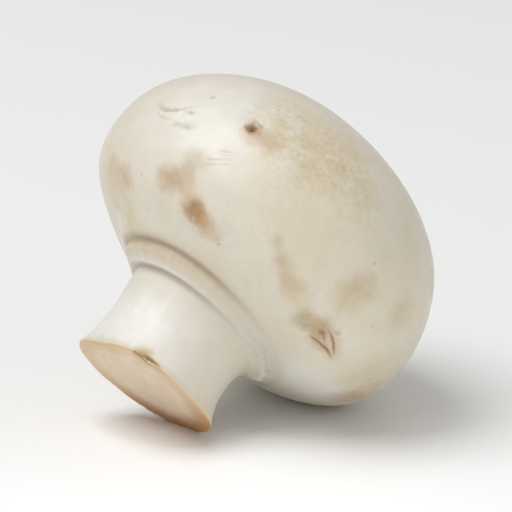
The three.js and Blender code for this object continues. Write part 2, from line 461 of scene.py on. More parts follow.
def furrow(distance, shape):
    """How deep a furrow is, and shallow where it has healed."""
    left_open = 1 + (shape["healed"] - 1) * np.maximum(healing, closing)
    return shape["depth"] * left_open * bell(distance, shape["width"])


from_margin = apart_from(MARGIN_RADIUS, MARGIN_HEIGHT)
from_neck = apart_from(NECK_RADIUS, NECK_HEIGHT)
up_veil = NECK_FURROW["up_veil"]
from_neck_furrow = apart_from(
    NECK_RADIUS + up_veil * (MARGIN_RADIUS - NECK_RADIUS),
    NECK_HEIGHT + up_veil * (MARGIN_HEIGHT - NECK_HEIGHT),
)
furrows = furrow(from_margin, MARGIN_FURROW) + furrow(from_neck_furrow, NECK_FURROW)
# furrow_shade is painted shade for the colour: darker in the furrows and in a wide band along the margin
# furrow, partly a tan tint of the skin.
furrow_shade = furrows / FURROW_SHADE["depth"]
furrow_shade += FURROW_SHADE["strength"] * (1 - closing) * bell(from_margin, FURROW_SHADE["width"])
fill = NECK_FILL["depth"] * tent(from_neck, NECK_FILL["width"])
fill += MARGIN_FILL["depth"] * tent(from_margin, MARGIN_FILL["width"])
sag = MARGIN_SAG["depth"] * facing(MARGIN_SAG["towards"], MARGIN_SAG["around"])
sag = sag * bell(from_margin, MARGIN_SAG["reach"])
print_range("furrows,", furrows)

# %% Folds of the veil
VEIL_LIP = {"above_neck": 1.15, "width": 0.3, "rise": 0.16}
PLEATS = {"count": 24, "depth": 0.25, "gather": 0.2, "towards": -33, "around": 20}

veil_share = np.clip((across - NECK_RADIUS) / (MARGIN_RADIUS - NECK_RADIUS), 0, 1)
on_veil = (height >= NECK_HEIGHT) & (height <= MARGIN_HEIGHT)
gathered = facing(PLEATS["towards"], PLEATS["around"])
folds = PLEATS["gather"] + PLEATS["depth"] * np.sin(PLEATS["count"] * np.radians(angle))
veil_relief = (folds * gathered - healing * VEIL_BULGE) * np.sin(math.pi * veil_share)
veil_relief += VEIL_LIP["rise"] * (1 - closing) * bell(from_neck - VEIL_LIP["above_neck"], VEIL_LIP["width"])
veil_relief *= on_veil
print_range("veil relief,", veil_relief)

# %% Flats of the foot, ripples, ledge and nick of the stem
FOOT_FLATS = [
    {"towards": 168, "around": 33, "depth": 2.15},
    {"towards": -89, "around": 29, "depth": 1.0},
]
RIPPLES = {"count": 5, "depth": 0.1}
NICK = {"towards": -137, "around": 6, "along": 1.1, "depth": 0.55}
LEDGE = {"towards": -151, "around": 7, "along": 0.8, "rise": 0.35}

flats = sum(flat["depth"] * facing(flat["towards"], flat["around"]) for flat in FOOT_FLATS)
ripple = RIPPLES["depth"] * np.sin(math.pi * down_stem) * np.sin(RIPPLES["count"] * np.radians(angle))


def at_cut_edge(mark):
    """A bell on the edge of the cut, at the mark's angle."""
    return facing(mark["towards"], mark["around"]) * bell(height - STEM_END_HEIGHT, mark["along"])


nick = NICK["depth"] * at_cut_edge(NICK)
ledge = LEDGE["rise"] * at_cut_edge(LEDGE)
stem_relief = ripple + ledge - flats * down_stem**FOOT_POWER - nick
print_range("stem relief,", stem_relief)

# %% Slant of the cut, and all of it put together
CUT_SLANT = {"degrees": 1.5, "towards": -150}
IN_AND_UP = math.sqrt(0.5)

slant_x, slant_y = towards_way(CUT_SLANT["towards"])
aside = grown[:, 0] * slant_x + grown[:, 1] * slant_y
slant = aside * math.tan(math.radians(CUT_SLANT["degrees"])) * down_stem**2


def carve(points):
    """The main forms: furrows and folds go in and up, the stem's forms go out from its axis."""
    inward = (furrows - healing * fill - veil_relief) * IN_AND_UP
    reach = np.maximum(across, TINY)
    spread = (across - inward + stem_relief * np.minimum(across / NECK_RADIUS, 1)) / reach
    carved = np.column_stack((points[:, 0] * spread, points[:, 1] * spread, height + inward - slant - sag))
    outward = grown / np.maximum(np.linalg.norm(grown, axis=1), TINY)[:, None]
    return carved + outward * swelling[:, None]


points = carve(points)
print_range("carved, heights", points[:, 2])

# %% [markdown]
# ## The fine relief
# Close up, the skin of a fresh mushroom is a felt of threads. It waves a little on the cap, it is
# cottony on the veil, and on the stem the threads run lengthwise. A texture on a flat surface would
# give the colour of that, but not the broken outline, so the waves and threads are real here. Smooth
# noise is sampled at every point, stretched the way the threads run.

# %% Grain
SEED_STEP = Vector((17.3, 9.1, 5.7))

round_the_stem = grown[:, :2] / np.maximum(across, TINY)[:, None]


def grain(samples, seed):
    """Smooth noise from -1 to 1 at each sample: features are about one unit wide."""
    shift = seed * SEED_STEP
    return np.array([noise.noise(Vector(sample) + shift) for sample in samples])


def felt(width, seed):
    """Grain with the same width every way, in mm."""
    return grain(grown / width, seed)


def threads(width, length, seed):
    """Grain that runs lengthwise: width across the threads at the stem, in mm, and their length."""
    turned = round_the_stem * NECK_RADIUS / width
    return grain(np.column_stack((turned, height / length)), seed)


def grains(kinds):
    """Adds up several grains: each is its height in mm, its kind, its size in mm, and its seed."""
    return sum(rise * kind(*sizes) for rise, kind, *sizes in kinds)


# %% Waves of the cap, cotton of the veil, threads of the stem
CAP_GRAIN = [(0.09, felt, 9.0, 1), (0.03, felt, 3.2, 2), (0.008, felt, 0.9, 3)]
VEIL_GRAIN = [(0.06, felt, 1.6, 4), (0.04, felt, 0.6, 5), (0.05, threads, 0.5, 6.0, 6)]
STEM_GRAIN = [(0.04, threads, 1.6, 14.0, 7), (0.010, threads, 0.5, 7.0, 8), (0.07, felt, 4.0, 9)]
CAP_STARTS = (-0.3, 0.6)
STEM_STARTS = (0.2, -0.6)

on_cap = part_way(height - MARGIN_HEIGHT, *CAP_STARTS)
on_stem = part_way(height - NECK_HEIGHT, *STEM_STARTS) * (height > STEM_END_HEIGHT + RIM_BEVEL)
veil_middle = np.sin(math.pi * veil_share) * on_veil
relief = on_cap * grains(CAP_GRAIN) + veil_middle * grains(VEIL_GRAIN) + on_stem * grains(STEM_GRAIN)
print_range("fine relief,", relief)

# %% Folds where the veil has healed
HEALED_FOLDS = {"towards": -62, "around": 34, "apart": 1.5, "rise": 0.10}
FOLDS_REACH = {"full": 2.0, "none": 5.0, "below_neck": 1.2}
FOLD_WANDER = [(0.7, felt, 3.0, 16), (0.3, felt, 1.1, 18)]
FOLD_BREAKS = [(1.0, felt, 2.0, 17)]
FOLD_SHARE = 0.55

unbroken = np.clip(FOLD_SHARE + grains(FOLD_BREAKS), 0, 1)
wave = np.cos(math.tau * (from_neck + grains(FOLD_WANDER)) / HEALED_FOLDS["apart"])
folded = facing(HEALED_FOLDS["towards"], HEALED_FOLDS["around"]) * unbroken
folded *= part_way(from_neck, FOLDS_REACH["none"], FOLDS_REACH["full"])
folded *= height > NECK_HEIGHT - FOLDS_REACH["below_neck"]
healed_folds = HEALED_FOLDS["rise"] * wave * folded
relief += healed_folds
print_range("healed folds,", healed_folds)

# %% The frayed end of the veil
FRAY = {"towards": -40, "around": 17, "above_neck": 1.1, "width": 1.3, "rise": 1.1, "below_neck": 0.6}
STRANDS = {"count": 46, "share": 0.5, "swing": 0.4, "tallest": 1.1}
STRAND_BREAKS = [(0.5, felt, 0.9, 10)]

strands = STRANDS["share"] + STRANDS["swing"] * np.sin(STRANDS["count"] * np.radians(angle))
strands = np.clip(strands + grains(STRAND_BREAKS), 0, STRANDS["tallest"])
fray = FRAY["rise"] * strands * facing(FRAY["towards"], FRAY["around"])
fray *= bell(from_neck - FRAY["above_neck"], FRAY["width"]) * (height > NECK_HEIGHT - FRAY["below_neck"])
relief += fray
print_range("fray,", fray)

# %% [markdown]
# ## Dents, tears and scratches
# A mushroom bruises at a touch. A bruise is a shallow dent, a tear is a narrow groove with a raised
# lip on one side, and a scratch is finer still. Each is a short path over the skin. The depth of every
# point is worked out from how far it lies from that path, and the same number is kept, because broken
# skin also goes brown, and the material will ask where it is broken. Lifted skin and scratches also
# get grey painted shadow, kept with the painted shade of the furrows.

# %% Dents
# The angle and height of each dent, its width, and its depth.
DENTS = [
    (-165.0, -6.6, 1.9, 0.10),
    (-153.0, -7.7, 1.5, 0.14),
    (-162.0, -3.5, 1.4, 0.04),
    (162.6, -8.0, 1.6, 0.06),
    (-89.0, -7.7, 1.9, 0.14),
    (-94.2, -2.0, 2.6, 0.06),
    (*SPECK_PLACE, 0.8, 0.10),
    (40.0, -4.0, 2.2, 0.14),
    (95.0, 1.5, 1.6, 0.10),
    (12.0, 13.0, 2.6, 0.12),
    (-38.0, 14.3, 1.9, 0.09),
    (75.0, 10.5, 3.0, 0.10),
]


def distance_to(place):
    return np.linalg.norm(grown - np.array(place), axis=1)


for towards, level, width, depth in DENTS:
    relief -= depth * bell(distance_to(on_skin(towards, level)), width)
print("dents:", len(DENTS))

# %% Tears and scratches
# The width, depth and lip of each tear, how brown it is, how much grey painted shadow it gets, and its path
# over the skin.
TEARS = [
    # Skin that was lifted
    (0.30, 0.38, 0.26, 0.14, 0.75, [(169.8, 0.8), (173.0, 0.2), (176.5, 0.0), (-179.5, 0.6), (-176.8, 1.6)]),
    (0.20, 0.22, 0.14, 0.05, 0.60, [(-176.5, 0.9), (-174.5, 0.9), (-172.5, 1.2)]),
    (0.28, 0.34, 0.20, 0.12, 0.75, [(-178.0, -1.3), (-173.5, -1.1), (-168.8, -0.6)]),
    (0.12, 0.12, 0.12, 0.05, 0.50, [(172.5, -0.7), (176.5, -1.1), (-179.1, -1.1)]),
    # Scratches
    (0.13, 0.13, 0.14, 0.05, 0.50, [(-157.2, -1.5), (-154.5, -1.1), (-151.7, -0.4)]),
    (0.13, 0.11, 0.12, 0.05, 0.40, [(-158.5, -3.4), (-155.0, -2.6), (-149.5, -1.2)]),
    # A torn flap, outside, inside and across
    (0.19, 0.26, 0.10, 0.80, 0.00, [(-88.0, -8.3), (-82.9, -7.9), (-79.0, -7.6), (-73.0, -7.5)]),
    (0.17, 0.22, 0.08, 0.70, 0.00, [(-89.0, -6.6), (-85.0, -6.7), (-81.5, -6.85), (-74.5, -7.3)]),
    (0.14, 0.15, 0.04, 0.55, 0.00, [(-88.5, -7.2), (-85.5, -7.3), (-82.0, -7.6)]),
    # A scuff on the dome, the tear at the nick, and a streak down the underside
    (0.32, 0.14, 0.10, 0.30, 0.30, [(24.0, 9.0), (18.0, 10.4), (13.0, 11.0)]),
    (0.24, 0.24, 0.08, 1.00, 0.00, [(-142.0, -22.1), (-137.0, -21.95), (-131.5, -22.05), (-125.0, -22.2)]),
    (0.35, 0.08, 0.00, 0.16, 0.00, [(-123.8, -5.1), (-118.5, -6.2), (-112.0, -6.8), (-106.0, -7.1)]),
]
LIP_OFFSET = 2.2
LIP_WIDTH = 1.6
LIP_REACH = 3 * LIP_OFFSET
RAGGED_TEARS = 0.5
ENDS = (0.04, 0.96)
END_POWER = 0.7


def along_path(places):
    """For every point: how far off the path it lies, on which side, and its share of the path."""
    lengths = [(after - before).length for before, after in zip(places, places[1:])]
    walked, best = 0.0, np.full(len(grown), np.inf)
    side, share = np.zeros(len(grown)), np.zeros(len(grown))
    for before, after, length in zip(places, places[1:], lengths):
        step = np.array(after - before) / length
        local = grown - np.array(before)
        ahead = np.clip(local @ step, 0, length)
        offset = local - ahead[:, None] * step
        distance = np.linalg.norm(offset, axis=1)
        closer = distance < best
        turned = np.einsum("ij,ij->i", np.cross(step, normals), offset)
        side = np.where(closer, turned, side)
        share = np.where(closer, (walked + ahead) / sum(lengths), share)
        best = np.minimum(best, distance)
        walked += length
    return best, side, share


broken = np.zeros(len(grown))
ragged = felt(0.5, 11)
for width, depth, lip, browning, tear_shadow_paint, path in TEARS:
    distance, side, share = along_path([on_skin(*place) for place in path])
    distance = distance * (1 + RAGGED_TEARS * ragged)
    taper = np.sin(math.pi * np.clip(share, *ENDS)) ** END_POWER
    groove = bell(distance, width) * taper
    raised = bell(side - LIP_OFFSET * width, LIP_WIDTH * width) * taper
    raised *= bell(distance, LIP_REACH * width)
    relief += lip * raised - depth * groove
    broken = np.maximum(broken, groove * browning)
    # Painted shadow: the grey along lifted skin and scratches joins the painted shade of the furrows.
    furrow_shade = np.maximum(furrow_shade, groove * tear_shadow_paint)
print("tears:", len(TEARS), "points in them:", int((broken > 0.5).sum()))

# %% The speck, where something bit through the skin
SPECK = {"width": 0.5, "depth": 0.32, "ragged": 0.35, "ring": 0.8, "ring_width": 0.3, "ring_rise": 0.08}

speck_distance = distance_to(on_skin(*SPECK_PLACE)) * (1 + SPECK["ragged"] * ragged)
hole = bell(speck_distance, SPECK["width"])
relief += SPECK["ring_rise"] * bell(speck_distance - SPECK["ring"], SPECK["ring_width"])
relief -= SPECK["depth"] * hole
broken = np.maximum(broken, hole)
print("deepest point of the speck, in mm:", round(-relief[hole > 0.5].min(), 2))

# %% [markdown]
# ## The cut and its rim
# The stem was cut with a knife. The flesh inside is moist, a little hollow and finely fibrous, the
# blade drags it one way, and the rim dries first, so it curls. A crack runs in from the nick. All of
# it is relief on the disc at the end of the stem, along the same normals as before.

# %% Relief of the cut
CUT_STARTS = (0.40, 0.02)
RIM_WIDTH = 0.4
LAST_OF_STEM = 0.97
DRAG = {"towards": -20, "length": 5.0, "width": 0.5, "rise": 0.05, "seed": 12}
CUT_GRAIN = [(0.09, felt, 2.5, 13), (0.03, felt, 0.7, 14)]
RIM_RING = {"radius": 6.6, "width": 0.35, "depth": 0.10, "share": 0.6}
RING_BREAKS = [(0.8, felt, 3.0, 15)]

above_end = height - STEM_END_HEIGHT
at_end = part_way(above_end, *CUT_STARTS) * (down_stem > LAST_OF_STEM)
on_cut = np.where(across < NECK_RADIUS - RIM_WIDTH, 1.0, at_end) * (above_end < RIM_BEVEL)
drag_x, drag_y = towards_way(DRAG["towards"])
along_drag = grown[:, 0] * drag_x + grown[:, 1] * drag_y
across_drag = grown[:, 1] * drag_x - grown[:, 0] * drag_y
dragged = np.column_stack((along_drag / DRAG["length"], across_drag / DRAG["width"], height))
relief += on_cut * (DRAG["rise"] * grain(dragged, DRAG["seed"]) + grains(CUT_GRAIN))
ring = RIM_RING["depth"] * bell(across - RIM_RING["radius"], RIM_RING["width"])
relief -= on_cut * ring * (RIM_RING["share"] + grains(RING_BREAKS))
print("points on the cut:", int((on_cut > 0.5).sum()))

# %% The crack at the nick
# Its path round the edge of the cut: how far out, and at which angle.
CRACK_PATH = [(9.5, -146), (9.4, -139), (9.1, -133), (8.9, -127), (8.9, -119)]
CRACK = {"width": 0.36, "depth": 0.55, "ragged": 0.4, "fading": 0.6, "starts": 0.85}

distance, side, share = along_path([off_axis(*place, STEM_END_HEIGHT) for place in CRACK_PATH])
crack = bell(distance * (1 + CRACK["ragged"] * ragged), CRACK["width"]) * (1 - CRACK["fading"] * share)
crack *= down_stem > CRACK["starts"]
relief -= CRACK["depth"] * crack
broken = np.maximum(broken, crack)
print("points in the crack:", int((crack > 0.5).sum()))

# %% [markdown]
# ## Bend it, and lay it down
# The stem leans, so everything below the underside is turned about one bend. Then the mushroom is laid
# on its side, where it rests on the cap and on the edge of the cut, and is turned by the angle at which
# it comes to rest. Where it touches the table its skin is pressed flat.

# %% Bend the stem
BEND_START_HEIGHT = -11.0
BEND_LENGTH = 3.0
STEM_LEAN = {"degrees": 8, "towards": -37.5}

points = points + normals * relief[:, None]


def bend(points):
    """An arc below BEND_START_HEIGHT, then straight on. The section turns with it."""
    full_lean = math.radians(STEM_LEAN["degrees"])
    lean_x, lean_y = towards_way(STEM_LEAN["towards"])
    depth = np.maximum(BEND_START_HEIGHT - points[:, 2], 0)
    lean = full_lean * np.minimum(depth / BEND_LENGTH, 1)
    straight = np.maximum(depth - BEND_LENGTH, 0)
    arc_radius = BEND_LENGTH / full_lean
    sideways = arc_radius * (1 - np.cos(lean)) + straight * np.sin(lean)
    drop = arc_radius * np.sin(lean) + straight * np.cos(lean)
    along = points[:, 0] * lean_x + points[:, 1] * lean_y
    moved = along * np.cos(lean) + sideways - along
    bent = np.column_stack((
        points[:, 0] + moved * lean_x,
        points[:, 1] + moved * lean_y,
        BEND_START_HEIGHT - drop + along * np.sin(lean),
    ))
    return np.where(depth[:, None] > 0, bent, points)


points = bend(points)
print_range("bent, heights", points[:, 2])

# %% Lay it down and press it flat
TILT = 34.047
CAP_CENTRE = (1.969, -0.009, 20.316)

laying = np.array(Matrix.Rotation(math.radians(90 - TILT), 3, "Y"))
points = points @ laying.T + np.array(CAP_CENTRE)
pressed = int((points[:, 2] < 0).sum())
points[:, 2] = np.maximum(points[:, 2], 0)
write_points(body, points)
print("points pressed flat:", pressed, "box, in mm:", points.min(0).round(2), points.max(0).round(2))

# %% Keep where each point grew, and how broken the skin is there


def keep_numbers(piece, name, kind, values):
    """Stores a number or a vector for every point, which a material can ask for by its name."""
    store = piece.data.attributes.new(name, kind, "POINT")
    field = "vector" if kind == "FLOAT_VECTOR" else "value"
    store.data.foreach_set(field, np.ascontiguousarray(values).ravel())


keep_numbers(body, "grown", "FLOAT_VECTOR", grown)
keep_numbers(body, "broken", "FLOAT", broken)
# The furrow numbers are painted shade: darker in the furrows and painted shadow along lifted skin and
# scratches, partly a tan tint.
keep_numbers(body, "furrow", "FLOAT", np.clip(furrow_shade, 0, 1))
keep_numbers(body, "healed", "FLOAT", closing)
work_on(body)
bpy.ops.object.shade_smooth()
print("attributes:", [attribute.name for attribute in body.data.attributes])

# %% [markdown]
# ## Colour that follows the skin
# A fresh button mushroom isn't pure white. It is cream, mottled with ivory, whiter and silky on the
# stem, warmer on the veil, and brown wherever it was pressed or torn. Painting that by hand would tie
# it to one shape. So the material reads where each point grew, in mm, and mixes a few named colours
# by masks. A mask is the distance from a named place, with its edge made uneven by noise.

# %% Paints


def paint(red, green, blue):
    """A colour given as it looks on a screen, 0 to 255, as the linear numbers that nodes mix."""
    linear = (((c / 255 + 0.055) / 1.055) ** 2.4 if c > 10 else c / 255 / 12.92 for c in (red, green, blue))
    return (*linear, 1)


PAINTS = {
    "chalk": paint(234, 233, 228),
    "cream": paint(226, 220, 205),
    "ivory": paint(219, 207, 181),
    "shell": paint(214, 208, 194),
    "silk": paint(230, 228, 223),
    "veil": paint(214, 199, 172),
    "straw": paint(202, 182, 135),
    "olive": paint(176, 149, 98),
    "tan": paint(186, 145, 90),
    "amber": paint(186, 142, 82),
    "rust": paint(180, 128, 82),
    "brown": paint(144, 99, 50),
    "dark_brown": paint(86, 58, 34),
    # The furrow paint is painted shade for the furrows and the shadows of lifted skin, partly a tan tint.
    "furrow": paint(168, 149, 122),
    "pink_flesh": paint(226, 205, 184),
    "pale_flesh": paint(231, 213, 187),
    "beige_flesh": paint(213, 187, 155),
    "dry_rim": paint(208, 177, 130),
    "burnt_rim": paint(184, 130, 80),
}
print("paints:", len(PAINTS))

# %% A small kit for nodes
# Each kind of patches: the width in mm, detail and roughness of its noise, and where they set in.
PATCHES = {
    "broad": (9.0, 3.0, 0.55, 0.38, 0.68),
    "middle": (2.6, 4.0, 0.6, 0.35, 0.75),
    "fine": (0.55, 3.0, 0.6, 0.3, 0.75),
    "streaks": (0.9, 3.0, 0.55, 0.35, 0.7),
    "blotches": (3.0, 3.0, 0.6, 0.35, 0.68),
}
DOT_CORE = 0.4


class Recipe:
    """Adds nodes to one material and links them up."""

    def __init__(self, name):
        self.material, self.shader = new_material(name)
        self.nodes = self.material.node_tree.nodes
        self.links = self.material.node_tree.links

    def feed(self, node, inputs):
        """Links each input of a node to a socket, or sets it to a plain value."""
        for name, value in inputs.items():
            if isinstance(value, bpy.types.NodeSocket):
                self.links.new(value, node.inputs[name])
            else:
                node.inputs[name].default_value = value

    def add(self, kind, inputs, output=0, **settings):
        """Adds a node, gives it its settings, feeds its inputs, and returns one of its outputs."""
        node = self.nodes.new("ShaderNode" + kind)
        for name, value in settings.items():
            setattr(node, name, value)
        self.feed(node, inputs)
        return node.outputs[output]

    def numbers(self, name, output="Fac"):
        """What was stored for every point under this name."""
        return self.add("Attribute", {}, output, attribute_name=name)

    def maths(self, operation, *values):
        return self.add("Math", dict(enumerate(values)), operation=operation)

    def vectors(self, operation, *values, output=0):
        return self.add("VectorMath", dict(enumerate(values)), output, operation=operation)

    def part_of(self, vector, axis):
        """One number of a vector: 0 for X, 1 for Y, 2 for Z."""
        return self.add("SeparateXYZ", {0: vector}, axis)

    def noise(self, vector, width, detail=2.0, roughness=0.5, output="Fac"):
        """Noise whose features are about width mm wide."""
        inputs = {"Vector": vector, "Scale": 1 / width, "Detail": detail, "Roughness": roughness}
        return self.add("TexNoise", inputs, output)

    def dots(self, vector, spacing, radius, share):
        """Round dots of a radius in mm, one or none in each cell of a loose grid."""
        distance = self.add("TexVoronoi", {"Vector": vector, "Scale": 1 / spacing}, "Distance")
        near = self.between(distance, radius / spacing, DOT_CORE * radius / spacing)
        drawn = self.part_of(distance.node.outputs["Color"], 0)
        return self.maths("MULTIPLY", near, self.maths("LESS_THAN", drawn, share))

    def between(self, value, start, end, low=0.0, high=1.0):
        """low before start, high after end, smooth between them."""
        inputs = {"Value": value, "From Min": start, "From Max": end, "To Min": low, "To Max": high}
        return self.add("MapRange", inputs, interpolation_type="SMOOTHSTEP")

    def patches(self, vector, kind):
        """A mask of soft patches of noise."""
        width, detail, roughness, start, end = PATCHES[kind]
        return self.between(self.noise(vector, width, detail, roughness), start, end)

    def mix(self, amount, first, second):
        """A colour: first where amount is 0, second where it is 1."""
        return self.add("Mix", {0: amount, 6: first, 7: second}, 2, data_type="RGBA")

    def layers(self, colour, coats):
        """Lays coats of paint over a colour in turn: each is a paint, a mask and a strength."""
        for name, mask, strength in coats:
            colour = self.mix(self.maths("MULTIPLY", mask, strength), colour, PAINTS[name])
        return colour

    def bump(self, relief, depth, strength, before=None):
        """Fine relief for the light only, depth in mm, over the relief before it."""
        inputs = {"Height": relief, "Distance": depth * MM, "Strength": strength}
        if before is not None:
            inputs["Normal"] = before
        return self.add("Bump", inputs)


print("kit for nodes:", [name for name in vars(Recipe) if not name.startswith("_")])

# %% Spots on the skin
# The angle and height of each spot, its radius, its paint, its strength, and whether it is speckled.
SPOTS = [
    # The first three spots are painted light, partly the skin's own tone: a large chalk-white painted
    # highlight on the upper left of the cap, then ivory painted shade and warm reflected light over its
    # middle and right.
    (-170.0, 2.0, 11.0, "chalk", 0.80),
    (-118.0, 0.5, 7.0, "ivory", 0.50),
    (-80.0, 3.0, 9.0, "ivory", 0.45),
    (-52.0, -9.5, 5.5, "chalk", 0.80),
    (-168.4, -6.9, 2.0, "tan", 0.62),
    (-161.8, -6.2, 2.0, "tan", 0.60),
    (-154.5, -7.9, 1.9, "amber", 0.85),
    (-153.0, -8.0, 1.5, "brown", 0.75),
    (-149.0, -8.1, 1.7, "amber", 0.70),
    (-144.5, -8.5, 1.7, "tan", 0.60),
    (-161.5, -3.9, 1.9, "olive", 0.45),
    (-158.0, -3.2, 1.4, "straw", 0.40),
    (162.6, -8.0, 2.0, "tan", 0.50),
    (168.0, -7.9, 1.8, "tan", 0.45),
    (156.5, -7.2, 2.0, "tan", 0.40),
    # These three large straw patches are partly straw stains and partly painted shade and warm reflected
    # light, darker and warmer along that edge of the cap.
    (158.0, -9.2, 4.2, "straw", 0.50),
    (146.0, -7.5, 4.5, "straw", 0.40),
    (163.0, -10.6, 3.6, "straw", 0.45),
    (-153.9, 3.3, 1.3, "brown", 1.00),
    (-151.8, 2.6, 1.6, "amber", 0.62),
    (-146.0, 3.4, 1.8, "tan", 0.60),
    (-123.8, -5.1, 1.0, "olive", 0.45),
    (-119.5, -5.8, 1.2, "olive", 0.35),
    (-115.5, -6.4, 1.5, "olive", 0.40),
    (-109.5, -6.9, 1.8, "tan", 0.50),
    (-104.5, -7.1, 2.0, "straw", 0.50),
    (-94.5, -7.9, 2.0, "olive", 0.90),
    (-89.5, -7.2, 2.2, "olive", 0.75),
    (-83.0, -7.5, 2.2, "tan", 0.60),
    (-87.5, -7.2, 0.6, "brown", 0.80),
    (-85.0, -6.0, 0.5, "brown", 0.50),
    (-76.0, -7.4, 1.5, "tan", 0.45),
    (-95.0, -3.0, 2.6, "straw", 0.75),
    (-93.2, -0.5, 2.2, "tan", 0.34),
    (-75.2, 2.0, 2.6, "tan", 0.30),
    (-134.5, 5.8, 6.0, "straw", 0.52, "speckled"),
    (-124.6, 7.7, 5.0, "straw", 0.42, "speckled"),
    (-112.0, 5.5, 4.0, "straw", 0.34, "speckled"),
    (-152.0, 7.7, 4.5, "straw", 0.45, "speckled"),
    (-140.0, 7.0, 9.0, "tan", 0.16, "speckled"),
    (-41.7, -6.5, 2.8, "rust", 0.60),
    (-46.0, -4.9, 3.2, "tan", 0.45),
    (-60.0, -5.0, 4.2, "straw", 0.50),
    (40.0, -4.0, 2.6, "tan", 0.60),
    (46.0, -5.5, 1.3, "brown", 0.60),
    (95.0, 1.5, 1.8, "tan", 0.55),
    (108.0, 4.5, 3.8, "straw", 0.45, "speckled"),
    (5.0, 8.0, 4.5, "straw", 0.45, "speckled"),
    (-20.0, 14.0, 2.0, "tan", 0.30),
    (18.0, 10.4, 2.4, "straw", 0.55),
    (75.0, 10.5, 3.6, "straw", 0.50, "speckled"),
]
STEM_SPOTS = [
    (-143.5, -21.8, 1.0, "straw", 0.90),
    (-137.5, -21.6, 0.9, "straw", 0.85),
    (-141.0, -22.0, 0.6, "tan", 0.70),
    (-133.0, -22.2, 0.9, "tan", 0.60),
    (-127.0, -22.3, 0.8, "straw", 0.60),
]
print("spots:", len(SPOTS) + len(STEM_SPOTS))

# %% [markdown]
# ## The skin
# The skin of cap, veil and stem grew together, so it is one material. Its height mask passes from cap
# to veil to stem. The cap is a little glossy, because fine threads lie flat there. The stem is matt,
# and its threads show as long soft streaks. Under the skin the flesh is white and lets light in, so
# the shader lets a little light wander below the surface.

# %% Patterns of the skin
ROUND_ONLY = (1, 1, 0)
WARP = {"width": 1.4, "reach": 1.3}
# How broken up a noise is: rough for grains, silky for threads.
ROUGH = {"detail": 3.0, "roughness": 0.6}
SILKY = {"detail": 4.0, "roughness": 0.65}
SPECKLES = {"coarse": 2.2, "fine": 0.6, "start": 0.62, "end": 1.45}
UNEVEN = {"middle": 0.4, "fine": 0.15, "least": 0.55}
PORES = {"spacing": 3.4, "radius": 0.38, "share": 0.6}
THREAD_STRETCH = 0.07

skin = Recipe("mushroom_skin")
grown_at = skin.numbers("grown", "Vector")
level = skin.part_of(grown_at, 2)
turned = skin.vectors("NORMALIZE", skin.vectors("MULTIPLY", grown_at, ROUND_ONLY))
shift = skin.vectors("SUBTRACT", skin.noise(grown_at, WARP["width"], output="Color"), (0.5, 0.5, 0.5))
warped = skin.vectors("MULTIPLY_ADD", shift, (WARP["reach"],) * 3, grown_at)

broad, middle, fine = (skin.patches(grown_at, kind) for kind in ("broad", "middle", "fine"))
uneven = skin.maths("MULTIPLY_ADD", fine, UNEVEN["fine"], UNEVEN["least"])
uneven = skin.maths("MULTIPLY_ADD", middle, UNEVEN["middle"], uneven)
coarse_speckles = skin.noise(grown_at, SPECKLES["coarse"], **ROUGH)
fine_speckles = skin.noise(warped, SPECKLES["fine"], **ROUGH)
speckles = skin.maths("ADD", coarse_speckles, fine_speckles)
speckles = skin.between(speckles, SPECKLES["start"], SPECKLES["end"])
pores = skin.dots(warped, PORES["spacing"], PORES["radius"], PORES["share"])
thread_place = skin.vectors("MULTIPLY", turned, (NECK_RADIUS,) * 3)
thread_place = skin.vectors("MULTIPLY_ADD", grown_at, (0, 0, THREAD_STRETCH), thread_place)
streaks = skin.patches(thread_place, "streaks")
print("nodes for patterns:", len(skin.nodes))

# %% Colour of the cap
SPOT_EDGE = (1.35, 0.25)


def put_spots(colour, spots):
    """Lays each spot over the colour: uneven at the edge, and mottled or speckled inside."""
    for towards, height, radius, name, strength, *speckled in spots:
        centre = tuple(on_skin(towards, height))
        distance = skin.vectors("DISTANCE", warped, centre, output="Value")
        mask = skin.between(distance, SPOT_EDGE[0] * radius, SPOT_EDGE[1] * radius, 0.0, strength)
        colour = skin.layers(colour, [(name, mask, speckles if speckled else uneven)])
    return colour


cap_coats = [
    ("ivory", broad, 0.50),
    ("shell", middle, 0.45),
    ("ivory", fine, 0.25),
    ("straw", speckles, 0.16),
]
cap_colour = skin.layers(PAINTS["cream"], cap_coats)
cap_colour = put_spots(cap_colour, SPOTS)
cap_colour = skin.layers(cap_colour, [("tan", pores, 0.45)])
print("nodes with the cap:", len(skin.nodes))

# %% Colour of the veil and the stem
# Where each part sets in, in mm above the margin, the neck or the end of the stem.
VEIL_STARTS = (0.5, -0.3)
STEM_COLOUR_STARTS = (0.15, -0.5)
LOW_LIP = (1.3, 0.6)
NECK_SHADE_AND_DIRT = (-5.0, -0.5)
NEAR_CUT = (1.6, 0.3)
EDGE_WOBBLE = {"width": 1.6, "reach": 0.9}
SHADED_STEM_SIDE = {"towards": -50, "start": -0.1, "end": 1.0}


def above(base, limits, heights=level):
    """A mask that passes from 0 to 1 between two heights above a base."""
    return skin.between(heights, base + limits[0], base + limits[1])


veil_coats = [
    ("cream", streaks, 0.35),
    ("silk", above(NECK_HEIGHT, LOW_LIP), 0.45),
    ("shell", skin.numbers("healed"), 0.85),
]
veil_colour = skin.layers(PAINTS["veil"], veil_coats)

